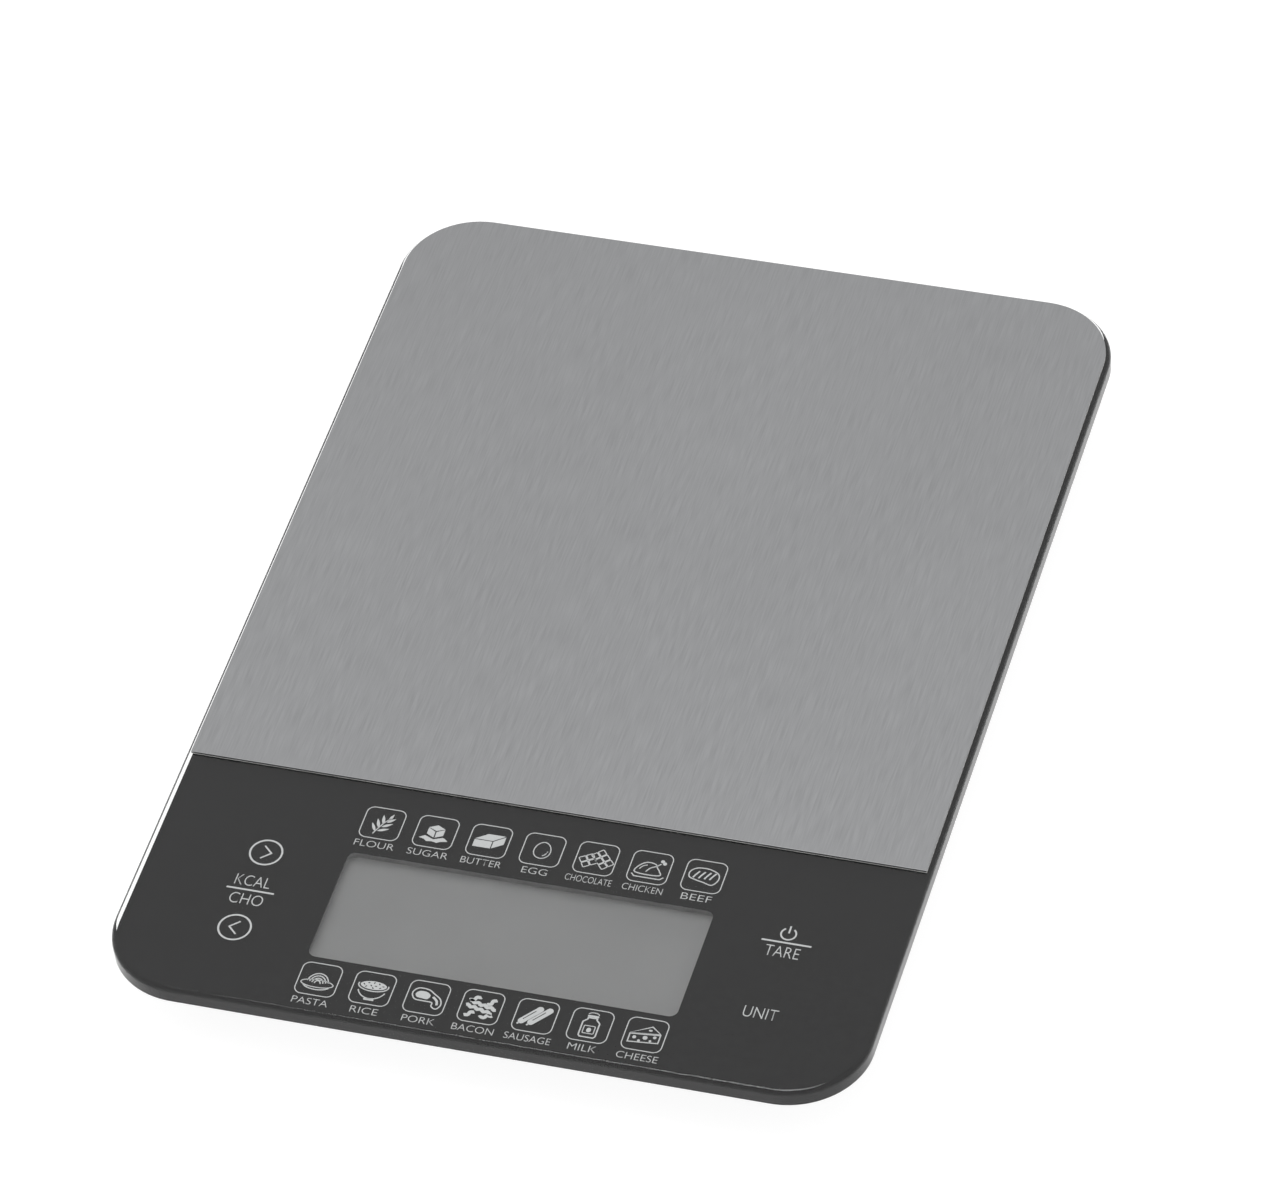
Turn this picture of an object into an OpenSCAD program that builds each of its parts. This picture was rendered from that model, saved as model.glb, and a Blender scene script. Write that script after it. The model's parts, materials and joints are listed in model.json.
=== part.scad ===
// Slim digital kitchen scale: a toughened glass platform with a steel weighing sheet,
// a black touch panel with a display at the front, and four load-cell feet.
// X runs left to right, Y front to back, Z up; the origin is under the centre, on the table.

/* [Platform] */
// Width of the glass platform
plate_w = 160; // [156:1:164]
// Length of the glass platform
plate_l = 230; // [226:1:236]
// Corner radius of the glass platform
plate_corner_r = 17; // [14:0.5:18]
// Thickness of the glass
glass_t = 3.9; // [3:0.1:5]
// Radius of the polished round along the upper edge of the glass
glass_edge_r = 1.1; // [0.6:0.1:1.4]
// Radius of the smaller round along the lower edge of the glass
glass_low_edge_r = 0.6; // [0.4:0.1:0.8]
// Thickness of the steel weighing sheet
steel_t = 0.5; // [0.4:0.1:1]
// Thickness of the adhesive film under the steel sheet
film_t = 0.1; // [0.1:0.05:0.2]
// Bare glass left around the steel sheet
steel_inset = 1.1; // [0.8:0.1:2]
// Depth of the black panel in front of the steel sheet
panel_d = 63; // [60:0.5:66]

/* [Display] */
// Width of the display window
window_w = 78; // [70:0.5:79]
// Depth of the display window, front to back
window_l = 29; // [24:0.5:30]
// Corner radius of the display window
window_r = 1.8; // [1:0.1:3]
// Distance from the glass front edge to the middle of the window
window_y = 31; // [30:0.5:32]
// Thickness of the liquid crystal panel
lcd_t = 2.2; // [1.8:0.1:2.4]

/* [Housing] */
// Gap between the table and the underside of the housing
ground_gap = 3.5; // [3:0.1:4]
// Height of the housing
housing_h = 8.5; // [8.3:0.1:9]
// How far the housing sits in from the glass edge
housing_inset = 7; // [6.5:0.5:7.5]
// Corner radius of the housing
housing_r = 12; // [10:0.5:13]
// Radius of the round along the lower edge of the housing
housing_edge_r = 2.6; // [1:0.2:2.8]
// Thickness of the housing side walls
wall_t = 3; // [2.8:0.1:3.2]
// Thickness of the housing floor
floor_t = 1.8; // [1.6:0.1:2]

/* [Feet] */
// Distance from the centre line to the middle of a foot, along X
foot_x = 56; // [55.5:0.1:56.5]
// Distance from the centre line to the middle of a foot, along Y
foot_y = 86; // [85:0.5:87]
// Radius of the foot cup
cup_r = 10; // [9:0.1:10]
// Radius of the rubber pad under the cup
pad_r = 8.5; // [7:0.1:8.7]
// Side of the square load cell plate
cell_side = 24; // [23:0.5:24]
// Thickness of the load cell plate
cell_t = 1.2; // [1:0.1:1.4]

/* [Battery] */
// Radius of the coin cell
coin_r = 10; // [10:0.1:10]
// Thickness of the coin cell
coin_t = 3.2; // [2.5:0.1:3.2]
// Half of the width of the battery door
door_half = 15.75; // [15:0.25:15.75]
// Thickness of the battery door
door_t = 1.4; // [1.2:0.1:1.5]

/* [Hidden] */
$fn = 48;

// Colours
steel_grey = [0.68, 0.68, 0.69];
glass_black = [0.12, 0.12, 0.13];
housing_black = [0.16, 0.16, 0.17];
frame_black = [0.10, 0.10, 0.11];
board_green = [0.10, 0.36, 0.20];
lcd_grey = [0.52, 0.54, 0.53];
foam_black = [0.20, 0.20, 0.20];
amber_film = [0.72, 0.45, 0.14];
socket_white = [0.88, 0.87, 0.82];
metal_bright = [0.78, 0.78, 0.76];
rubber_grey = [0.25, 0.25, 0.26];
lead_white = [0.86, 0.86, 0.84];

// Heights above the table
floor_top = ground_gap + floor_t;
rim_top = ground_gap + housing_h;
tape_t = 0.4;
print_t = 0.1;
pad_drop = 0.4;
print_bottom = rim_top + tape_t;
glass_bottom = print_bottom + print_t;
glass_top = glass_bottom + glass_t;
steel_bottom = glass_top + film_t;

// Plan positions
front_edge = -plate_l / 2;
steel_front = front_edge + panel_d;
window_cy = front_edge + window_y;
housing_w = plate_w - 2 * housing_inset;
housing_l = plate_l - 2 * housing_inset;
inner_w = housing_w - 2 * wall_t;
inner_l = housing_l - 2 * wall_t;
inner_r = housing_r - wall_t;
front_wall = -inner_l / 2;
rib_x = 30;
lead_gap_x = -25;
post_y = [-30, 60];
post_r = 4;
join = 0.1;

// Circuit board and the parts on it
board_w = 86;
board_front = front_wall + 1;
board_back = front_wall + 51;
board_bottom = floor_top + 0.8;
board_t = 1.2;
board_top = board_bottom + board_t;
row_y = board_back - 3.5;
part_row_y = board_back - 8.5;
screw_x = 38;
screw_y = board_back - 6;
board_hole_r = 1.1;
board_catch_x = 20;
board_catch_w = 8;
socket_x = 27;
socket_d = 5;
socket_h = 3.4;
battery_socket_x = -16;
chip_x = 14;

// Display stack
frame_w = window_w + 8;
frame_l = window_l + 7;
frame_top = print_bottom - 0.5;
reflector_t = 0.2;
lcd_bottom = board_top + 0.9;
lcd_top = lcd_bottom + lcd_t;
lcd_w = window_w + 5;
lcd_l = window_l + 4;
polarizer_t = 0.1;
lug_t = 1.5;

// Load cells and feet
cell_bottom = floor_top + 1.7;
cell_top = cell_bottom + cell_t;
cell_hole_r = 2;
seat_offset = 9.8;
seat_r = 2.2;
foot_hole_r = cup_r + 0.6;
pad_t = 2;
clip_t = 0.8;
screw_r = 0.85;
pilot_r = 0.9;
pilot_bottom = ground_gap + 0.8;
coating_l = 5.5;
coating_start = 5;

// Battery bay
door_bottom = ground_gap + 0.1;
door_top = door_bottom + door_t;
hinge_y = 16;
hinge_z = door_bottom + 1.1;
barrel_r = 1.1;
trunnion_r = 1;
socket_r = 1.06;
trunnion_reach = 1.4;
recess_half = door_half + 0.3;
recess_top = door_top + 0.2;
slab_top = ground_gap + 3;
slab_half = 19;
coin_bottom = recess_top;
coin_top = coin_bottom + coin_t;
bay_r = coin_r + 0.4;
bay_top = coin_top + 0.4;
bay_wall = 1.6;
bay_roof = bay_top + 1.4;
latch_w = 7;
latch_pocket_w = 9.6;
latch_slot_y = door_half + 0.9;
latch_top = ground_gap + 4.1;
plate_strip = 0.2;

// Cable routes, given for the right-hand side
front_route = [
    [56, -75.4, 9], [56, -72, 8.9], [56, -67, 6.6], [53, -58, 6.1], [42, -51, 6.1],
    [32, -48.5, 6.2], [28.5, -50.5, 7.6], [28.5, -54.8, 9]
];
rear_route = [
    [56, 75.4, 9], [56, 72, 8.9], [55, 67, 6.6], [50, 58, 6.1], [50, 20, 6.1], [50, -20, 6.1],
    [49, -36, 6.1], [42, -43, 6.1], [31, -44.5, 6.1], [25.5, -48, 7.4], [25.5, -54.8, 9]
];
positive_route = [
    [-11.2, -0.8, 10.8], [-14, -4, 10.6], [-18, -8, 9.2], [-21, -13, 6.8], [-21, -22, 6.1],
    [-18, -36, 6.1], [-16.2, -48, 6.8], [-15.2, -54.8, 9]
];
negative_route = [
    [-1, 10.4, 11], [-6, 13, 11], [-14, 14, 10], [-20, 10, 8], [-23, 2, 6.6],
    [-23.6, -20, 6.1], [-21, -38, 6.1], [-18, -49, 6.9], [-16.8, -54.8, 9]
];

// Geometry helpers
function arc_points(x, y, r, a, b, steps) =
    [for (i = [0 : steps]) [x + r * cos(a + (b - a) * i / steps), y + r * sin(a + (b - a) * i / steps)]];

// A point on the smooth curve through p1 and p2, with p0 and p3 as its neighbours
function curve_point(p0, p1, p2, p3, t) =
    0.5 * (2 * p1 + (p2 - p0) * t + (2 * p0 - 5 * p1 + 4 * p2 - p3) * t * t
        + (3 * p1 - p0 - 3 * p2 + p3) * t * t * t);

function smooth_route(p, steps) = concat(
    [for (i = [0 : len(p) - 2], k = [0 : steps - 1])
        curve_point(p[max(i - 1, 0)], p[i], p[i + 1], p[min(i + 2, len(p) - 1)], k / steps)],
    [p[len(p) - 1]]
);

function unit(v) = v / norm(v);

function tube_ring(p, i, r, sides) =
    let (
        along = unit(p[min(i + 1, len(p) - 1)] - p[max(i - 1, 0)]),
        side = unit(cross(along, [0, 0, 1])),
        rise = cross(side, along)
    )
    [for (k = [0 : sides - 1]) p[i] + r * (cos(360 * k / sides) * side + sin(360 * k / sides) * rise)];

module swept_tube(route, r, sides = 8) {
    p = smooth_route(route, 4);
    rings = len(p);
    points = [for (i = [0 : rings - 1]) each tube_ring(p, i, r, sides)];
    walls = [for (i = [0 : rings - 2], k = [0 : sides - 1])
        let (n = (k + 1) % sides)
        [i * sides + k, i * sides + n, (i + 1) * sides + n, (i + 1) * sides + k]];
    first_cap = [[for (k = [0 : sides - 1]) sides - 1 - k]];
    last_cap = [[for (k = [0 : sides - 1]) (rings - 1) * sides + k]];
    polyhedron(points, concat(walls, first_cap, last_cap));
}

module rounded_outline(w, l, r) {
    square([w - 2 * r, l], center = true);
    square([w, l - 2 * r], center = true);
    for (sx = [-1, 1], sy = [-1, 1])
        translate([sx * (w / 2 - r), sy * (l / 2 - r)]) circle(r = r);
}

// A rounded slab whose lower and upper edges are rounded too
module soft_slab(w, l, h, r, lower_r, upper_r, facets) {
    hull()
        for (sx = [-1, 1], sy = [-1, 1])
            translate([sx * (w / 2 - r), sy * (l / 2 - r), 0])
                rotate_extrude($fn = facets)
                    polygon(concat(
                        [[0, 0]],
                        arc_points(r - lower_r, lower_r, lower_r, -90, 0, 5),
                        arc_points(r - upper_r, h - upper_r, upper_r, 0, 90, 5),
                        [[0, h]]
                    ));
}

module ring_outline(outer_w, outer_l, inner_w, inner_l, outer_r, inner_r) {
    difference() {
        rounded_outline(outer_w, outer_l, outer_r);
        rounded_outline(inner_w, inner_l, inner_r);
    }
}

module centred_box(w, d, low, high) {
    translate([-w / 2, -d / 2, low]) cube([w, d, high - low]);
}

// Places its children at one foot, turned so that +Y points to the middle of the scale
module at_foot(sx, sy) {
    translate([sx * foot_x, sy * foot_y, 0])
        rotate([0, 0, sy > 0 ? 180 : 0]) children();
}

// Platform
module steel_outline() {
    w = plate_w - 2 * steel_inset;
    r = plate_corner_r - steel_inset;
    back = plate_l / 2 - steel_inset;
    translate([-w / 2, steel_front]) square([w, back - r - steel_front]);
    translate([r - w / 2, steel_front]) square([w - 2 * r, back - steel_front]);
    for (sx = [-1, 1]) translate([sx * (w / 2 - r), back - r]) circle(r = r, $fn = 96);
}

module steel_platform_sheet() {
    color(steel_grey) translate([0, 0, steel_bottom]) linear_extrude(steel_t) steel_outline();
}

module sheet_adhesive_film() {
    color(lead_white) translate([0, 0, glass_top]) linear_extrude(film_t) steel_outline();
}

module glass_platform() {
    color(glass_black)
        translate([0, 0, glass_bottom])
            soft_slab(plate_w, plate_l, glass_t, plate_corner_r, glass_low_edge_r, glass_edge_r, 96);
}

module glass_back_print() {
    border = glass_low_edge_r;
    color(frame_black)
        translate([0, 0, print_bottom])
            linear_extrude(print_t)
                difference() {
                    rounded_outline(plate_w - 2 * border, plate_l - 2 * border, plate_corner_r - border);
                    translate([0, window_cy]) rounded_outline(window_w, window_l, window_r);
                }
}

module touch_sensor_film() {
    film_w = inner_w - 4;
    film_front = front_wall + 2;
    film_back = board_back - 2;
    color(amber_film)
        translate([0, 0, print_bottom - plate_strip])
            linear_extrude(plate_strip)
                difference() {
                    translate([0, (film_front + film_back) / 2])
                        rounded_outline(film_w, film_back - film_front, 6);
                    translate([0, window_cy]) square([frame_w + 0.6, frame_l + 0.6], center = true);
                }
}

module touch_film_tail() {
    tail_w = 12;
    tail_back = board_back + 2.4;
    tail_low = board_top + 0.9;
    color(amber_film)
        translate([-tail_w / 2, 0, 0]) {
            translate([0, board_back - 2, print_bottom - plate_strip])
                cube([tail_w, tail_back - board_back + 2, plate_strip]);
            translate([0, tail_back - plate_strip, tail_low])
                cube([tail_w, plate_strip, print_bottom - tail_low]);
            translate([0, board_back - 4, tail_low])
                cube([tail_w, tail_back - board_back + 4, plate_strip]);
        }
}

module housing_bond_tape() {
    color(foam_black)
        translate([0, 0, rim_top])
            linear_extrude(tape_t)
                ring_outline(housing_w - 0.8, housing_l - 0.8, inner_w + 0.8, inner_l + 0.8,
                    housing_r - 0.4, inner_r + 0.4);
}

// Housing
module housing_ribs() {
    rib_t = 1.4;
    rib_top = rim_top - 1.6;
    rib_front = -40;
    rib_low = floor_top - join;
    side_rib_l = 12;
    for (sx = [-1, 1])
        translate([sx * rib_x - rib_t / 2, rib_front, rib_low])
            cube([rib_t, inner_l / 2 - rib_front, rib_top - rib_low]);
    for (y = [-30, 30, 60, 90])
        translate([-rib_x, y - rib_t / 2, rib_low]) cube([2 * rib_x, rib_t, rib_top - rib_low]);
    for (sx = [-1, 1], y = [-40, 0, 40])
        translate([sx * (inner_w - side_rib_l) / 2 - side_rib_l / 2, y - rib_t / 2, rib_low])
            cube([side_rib_l, rib_t, rib_top - floor_top - 2]);
    for (sx = [-1, 1], y = post_y)
        translate([sx * rib_x, y, rib_low]) cylinder(r = post_r, h = rim_top - pad_drop - rib_low);
}

module housing_seats() {
    for (sx = [-1, 1], sy = [-1, 1]) {
        at_foot(sx, sy) {
            translate([0, 0, floor_top - join]) cylinder(r = foot_hole_r + 1.2, h = 1.5);
            for (u = [-1, 1], v = [-1, 1])
                translate([u * seat_offset, v * seat_offset, floor_top - join])
                    cylinder(r = seat_r, h = cell_bottom - floor_top + join);
        }
    }
    for (sx = [-1, 1], y = [screw_y, board_front + 4])
        translate([sx * screw_x, y, floor_top - join])
            cylinder(r = 2.4, h = board_bottom - floor_top + join);
    for (sx = [-1, 1])
        translate([sx * board_catch_x - board_catch_w / 2, front_wall - join, board_top + 0.05])
            cube([board_catch_w, 1.9, 1]);
}

module battery_bay_walls() {
    pocket_wall = 1.4;
    centred_box(2 * slab_half, 2 * slab_half, ground_gap + 0.2, slab_top);
    translate([0, 0, floor_top]) cylinder(r = bay_r + bay_wall, h = bay_roof - floor_top);
    translate([-latch_pocket_w / 2 - pocket_wall, -door_half - 1.8, floor_top])
        cube([latch_pocket_w + 2 * pocket_wall, 9, bay_top - floor_top]);
}

module battery_bay_cuts() {
    recess_back = hinge_y + barrel_r + 0.3;
    translate([-recess_half, -recess_half, ground_gap - 1])
        cube([2 * recess_half, recess_half + recess_back, recess_top - ground_gap + 1]);
    translate([-recess_half, hinge_y, hinge_z])
        rotate([0, 90, 0]) cylinder(r = barrel_r + 0.3, h = 2 * recess_half);
    translate([-recess_half - trunnion_reach - 0.2, hinge_y, hinge_z])
        rotate([0, 90, 0]) cylinder(r = socket_r, h = 2 * (recess_half + trunnion_reach + 0.2));
    cylinder(r = bay_r, h = bay_top);
    translate([-latch_pocket_w / 2, -door_half - 0.05, recess_top - 0.1])
        cube([latch_pocket_w, 8, bay_top - 1 - recess_top + 0.1]);
    translate([-latch_w / 2 - 0.5, -latch_slot_y - 0.3, ground_gap + 0.5])
        cube([latch_w + 1, 2, recess_top - ground_gap - 0.5]);
    translate([-bay_r - 0.6, -2.8, recess_top]) cube([2, 5.6, bay_top - recess_top + 3]);
    translate([-3, coin_r - 0.9, bay_top - 0.3]) cube([6, 0.8, 4]);
}

module lower_housing() {
    color(housing_black)
        difference() {
            union() {
                difference() {
                    translate([0, 0, ground_gap])
                        soft_slab(housing_w, housing_l, housing_h, housing_r, housing_edge_r, 0.3, 32);
                    translate([0, 0, floor_top])
                        linear_extrude(housing_h) rounded_outline(inner_w, inner_l, inner_r);
                }
                housing_ribs();
                housing_seats();
                battery_bay_walls();
            }
            battery_bay_cuts();
            for (sx = [-1, 1], sy = [-1, 1])
                at_foot(sx, sy) {
                    translate([0, 0, ground_gap - 1]) cylinder(r = foot_hole_r, h = 6);
                    for (u = [-1, 1])
                        translate([u * seat_offset, u * seat_offset, pilot_bottom])
                            cylinder(r = pilot_r, h = cell_bottom);
                }
            for (sx = [-1, 1])
                translate([sx * screw_x, screw_y, pilot_bottom]) cylinder(r = pilot_r, h = board_bottom);
            translate([lead_gap_x, -32, floor_top]) cube([11, 4, 2.4]);
        }
}

module glass_support_pads() {
    color(foam_black)
        for (sx = [-1, 1], y = post_y)
            translate([sx * rib_x, y, rim_top - pad_drop])
                cylinder(r = post_r - 0.4, h = tape_t + pad_drop);
}

// Display
module display_frame() {
    color(frame_black)
        difference() {
            union() {
                translate([0, window_cy, board_top])
                    linear_extrude(frame_top - board_top) rounded_outline(frame_w, frame_l, 1.5);
                for (sx = [-1, 1])
                    translate([sx * screw_x - 4, window_cy + frame_l / 2 - 1, board_top])
                        cube([8, screw_y + 4 - (window_cy + frame_l / 2 - 1), lug_t]);
            }
            translate([0, window_cy, board_top - 1])
                linear_extrude(lcd_top + polarizer_t - board_top + 1)
                    square([lcd_w + 0.4, lcd_l + 0.4], center = true);
            translate([0, window_cy, lcd_top])
                linear_extrude(frame_top - lcd_top + 1)
                    rounded_outline(window_w + 1, window_l + 1, window_r + 0.5);
            for (sx = [-1, 1])
                translate([sx * screw_x, screw_y, board_top - 1]) cylinder(r = board_hole_r, h = lug_t + 2);
        }
}

module display_gasket() {
    color(foam_black)
        translate([0, window_cy, frame_top])
            linear_extrude(print_bottom - frame_top)
                ring_outline(frame_w, frame_l, window_w + 2, window_l + 2, 1.5, window_r + 1);
}

module lcd_polarizer() {
    color(lcd_grey)
        translate([0, window_cy, lcd_top])
            linear_extrude(polarizer_t) square([window_w + 3, window_l + 3], center = true);
}

module lcd_panel() {
    ledge = 2.2;
    color(lcd_grey)
        translate([0, window_cy, 0]) {
            translate([0, 0, lcd_bottom + lcd_t / 2]) centred_box(lcd_w, lcd_l, 0, lcd_t / 2);
            centred_box(lcd_w, lcd_l - 2 * ledge, lcd_bottom, lcd_bottom + lcd_t / 2);
        }
}

module lcd_reflector() {
    color(metal_bright)
        translate([0, window_cy, 0])
            centred_box(window_w, window_l - 4, lcd_bottom - reflector_t, lcd_bottom);
}

module zebra_strips() {
    strip_d = 1.6;
    color([0.45, 0.45, 0.48])
        for (sy = [-1, 1])
            translate([0, window_cy + sy * (lcd_l / 2 - 1.1), 0])
                centred_box(window_w, strip_d, board_top, lcd_bottom + lcd_t / 2);
}

// Electronics
module circuit_board() {
    color(board_green)
        translate([0, 0, board_bottom])
            linear_extrude(board_t)
                difference() {
                    translate([-board_w / 2, board_front]) square([board_w, board_back - board_front]);
                    for (sx = [-1, 1]) translate([sx * screw_x, screw_y]) circle(r = board_hole_r);
                }
}

module controller_chip() {
    body = 7;
    pitch = 0.8;
    color([0.13, 0.13, 0.14])
        translate([chip_x, row_y - 2, 0]) {
            centred_box(body, body, board_top + 0.15, board_top + 1.5);
            for (turn = [0 : 90 : 270], i = [-3 : 3])
                rotate([0, 0, turn])
                    translate([i * pitch, body / 2 + 0.4, 0])
                        centred_box(0.35, 1, board_top, board_top + 0.4);
        }
}

module crystal_oscillator() {
    can_r = 1.4;
    can_l = 6;
    color(metal_bright)
        translate([-6, part_row_y, board_top]) {
            translate([0, 0, can_r]) rotate([0, 90, 0]) cylinder(r = can_r, h = can_l);
            for (sy = [-1, 1])
                translate([can_l - 0.1, sy * 0.6 - 0.2, 0]) cube([1.4, 0.4, 1.6]);
        }
}

module board_chips(count, start_x, w, h) {
    for (i = [0 : count - 1])
        translate([start_x + i * 2.4, part_row_y, 0]) centred_box(w, 1.8, board_top, board_top + h);
}

module board_capacitors() {
    color([0.70, 0.55, 0.35]) board_chips(4, -26, 1.2, 1);
}

module board_resistors() {
    color([0.20, 0.20, 0.22]) board_chips(5, 21, 1, 0.5);
}

// A plug socket, open towards the back, at the rear edge of the board
module plug_socket(x, w) {
    color(socket_white)
        translate([x, row_y, board_top])
            difference() {
                centred_box(w, socket_d, 0, socket_h);
                translate([0, 1.2, 0.7]) centred_box(w - 1.4, socket_d, 0, socket_h - 1.4);
            }
}

module load_cell_sockets() {
    for (sx = [-1, 1]) plug_socket(sx * socket_x, 10);
}

module battery_socket() {
    plug_socket(battery_socket_x, 6);
}

module film_tail_connector() {
    color([0.30, 0.24, 0.20])
        translate([0, row_y - 0.5, board_top])
            difference() {
                centred_box(14, 4, 0, 2);
                translate([0, 1.5, 0.9]) centred_box(12.4, 4, 0, 0.3);
            }
}

module screw(head_bottom, tip) {
    translate([0, 0, tip]) cylinder(r = screw_r, h = head_bottom - tip + 0.1);
    difference() {
        translate([0, 0, head_bottom]) cylinder(r = 1.7, h = 1.1);
        for (turn = [0, 90])
            rotate([0, 0, turn])
                translate([0, 0, head_bottom + 0.6]) centred_box(2, 0.4, 0, 1);
    }
}

module board_screws() {
    color(metal_bright)
        for (sx = [-1, 1])
            translate([sx * screw_x, screw_y, 0]) screw(board_top + lug_t, pilot_bottom + 0.3);
}

// Load cells
module load_cell_screws() {
    color(metal_bright)
        for (sx = [-1, 1], sy = [-1, 1])
            at_foot(sx, sy)
                for (u = [-1, 1])
                    translate([u * seat_offset, u * seat_offset, 0]) screw(cell_top, pilot_bottom + 0.3);
}

module strain_gauge_coatings() {
    color(lead_white)
        for (sx = [-1, 1], sy = [-1, 1])
            at_foot(sx, sy)
                translate([0, coating_start + coating_l / 2, cell_top])
                    linear_extrude(1.2) rounded_outline(8, coating_l, 1.2);
}

// A square plate with a central tongue, cut free on three sides, that carries the foot
module load_cell(sx, sy) {
    slot = 1.6;
    tongue = 8;
    color([0.74, 0.72, 0.66])
        at_foot(sx, sy)
            translate([0, 0, cell_bottom])
                linear_extrude(cell_t)
                    difference() {
                        rounded_outline(cell_side, cell_side, 2);
                        for (u = [-1, 1])
                            translate([u * (tongue - slot / 2), 0]) square([slot, 2 * tongue], center = true);
                        translate([0, slot / 2 - tongue]) square([2 * tongue, slot], center = true);
                        circle(r = cell_hole_r);
                        for (u = [-1, 1]) translate([u * seat_offset, u * seat_offset]) circle(r = 1.05);
                    }
}

module lead(sx, route) {
    color(lead_white) scale([sx, 1, 1]) swept_tube(route, 0.7);
}

// Feet
module foot_cup(sx, sy) {
    neck_r = 4;
    low = 1.2;
    recess_r = pad_r + 0.1;
    color(housing_black)
        at_foot(sx, sy)
            rotate_extrude()
                polygon(concat(
                    [[0, pad_t], [recess_r, pad_t], [recess_r, low]],
                    arc_points(cup_r - 0.6, low + 0.6, 0.6, -90, 0, 4),
                    [[cup_r, low + 3.2], [cup_r - 0.6, low + 3.6], [neck_r, low + 3.6],
                        [neck_r, cell_bottom], [cell_hole_r - 0.06, cell_bottom],
                        [cell_hole_r - 0.06, cell_top + clip_t + 0.3], [0, cell_top + clip_t + 0.3]]
                ));
}

module foot_pad(sx, sy) {
    groove_depth = 0.4;
    color(rubber_grey)
        at_foot(sx, sy)
            rotate_extrude()
                polygon(concat(
                    [[0, 0.3], [2, 0.3], [2.4, 0], [4.2, 0], [4.4, groove_depth], [5, groove_depth],
                        [5.2, 0]],
                    arc_points(pad_r - 0.7, 0.7, 0.7, -90, 0, 4),
                    [[pad_r, pad_t], [0, pad_t]]
                ));
}

// A pushed-on spring washer that holds the foot's stud in the load cell
module foot_clip(sx, sy) {
    color(metal_bright)
        at_foot(sx, sy)
            translate([0, 0, cell_top])
                difference() {
                    cylinder(r = 3.8, h = clip_t);
                    translate([0, 0, -1]) cylinder(r = cell_hole_r - 0.05, h = clip_t + 2);
                    for (turn = [0, 60, 120])
                        rotate([0, 0, turn]) translate([0, 0, -1]) centred_box(5.6, 0.5, 0, clip_t + 2);
                }
}

// Battery
module battery_cell() {
    rim = 0.4;
    color(metal_bright)
        rotate_extrude($fn = 72)
            polygon([
                [0, coin_bottom], [coin_r - rim, coin_bottom], [coin_r, coin_bottom + rim],
                [coin_r, coin_top - 0.5], [coin_r - 0.8, coin_top - 0.5], [coin_r - 1.1, coin_top],
                [0, coin_top]
            ]);
}

module battery_positive_contact() {
    color(metal_bright)
        translate([0, 2.2, 0])
            rotate([90, 0, 0])
                linear_extrude(4.4)
                    polygon([
                        [-10.7, coin_bottom + 0.6], [-10.5, coin_bottom + 0.6], [-10.02, coin_bottom + 1.4],
                        [-10.5, coin_bottom + 2.2], [-10.5, bay_roof + 1], [-10.7, bay_roof + 1],
                        [-10.7, coin_bottom + 2.1], [-10.24, coin_bottom + 1.4], [-10.7, coin_bottom + 0.7]
                    ]);
}

module battery_negative_contact() {
    strip = plate_strip;
    riser_y = coin_r - 0.6;
    color(metal_bright)
        translate([-2.5, 0, 0])
            rotate([90, 0, 90])
                linear_extrude(5)
                    polygon([
                        [-6, bay_top - strip], [-3, bay_top - strip], [0, coin_top + 0.02],
                        [3, bay_top - strip], [riser_y + strip, bay_top - strip],
                        [riser_y + strip, bay_roof + 1], [riser_y, bay_roof + 1], [riser_y, bay_top],
                        [2.8, bay_top], [0, coin_top + 0.02 + strip], [-2.8, bay_top], [-6, bay_top]
                    ]);
}

module battery_lead(route, shade) {
    color(shade) swept_tube(route, 0.6);
}

module battery_door() {
    notch_w = latch_w + 1;
    notch_d = 4.4;
    color(housing_black)
        difference() {
            union() {
                translate([-door_half, -door_half, door_bottom])
                    cube([2 * door_half, door_half + hinge_y, door_t]);
                translate([-door_half, hinge_y, hinge_z])
                    rotate([0, 90, 0]) cylinder(r = barrel_r, h = 2 * door_half);
                translate([-recess_half - trunnion_reach, hinge_y, hinge_z])
                    rotate([0, 90, 0]) cylinder(r = trunnion_r, h = 2 * (recess_half + trunnion_reach));
                for (sx = [-1, 1])
                    translate([sx * 5 - 0.6, -6, door_top - 0.1]) cube([1.2, 12, 0.28]);
            }
            translate([-notch_w / 2, -door_half - 1, door_bottom - 1])
                cube([notch_w, notch_d + 1, door_t + 2]);
            for (i = [0 : 3])
                translate([-6, -9 + i * 1.2, door_bottom - 0.1]) cube([12, 0.5, 0.4]);
        }
}

// A bent spring arm in the door's notch, with a catch that rests over a ledge of the housing
module battery_door_latch() {
    arm = 0.7;
    inner = -door_half + 4.4;
    outer = -door_half + 0.9;
    color(housing_black)
        translate([-latch_w / 2, 0, 0])
            rotate([90, 0, 90])
                linear_extrude(latch_w)
                    polygon([
                        [inner, door_bottom], [inner, latch_top - 0.3], [inner - 0.3, latch_top],
                        [outer + 0.3, latch_top], [outer, latch_top - 0.3], [outer, door_top],
                        [-latch_slot_y, door_top - 0.5], [-latch_slot_y, door_bottom + 0.6],
                        [outer - 0.8, door_bottom + 0.4], [outer - 0.8, door_bottom],
                        [outer + arm, door_bottom], [outer + arm, latch_top - arm],
                        [inner - arm, latch_top - arm], [inner - arm, door_bottom]
                    ]);
}

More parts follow.
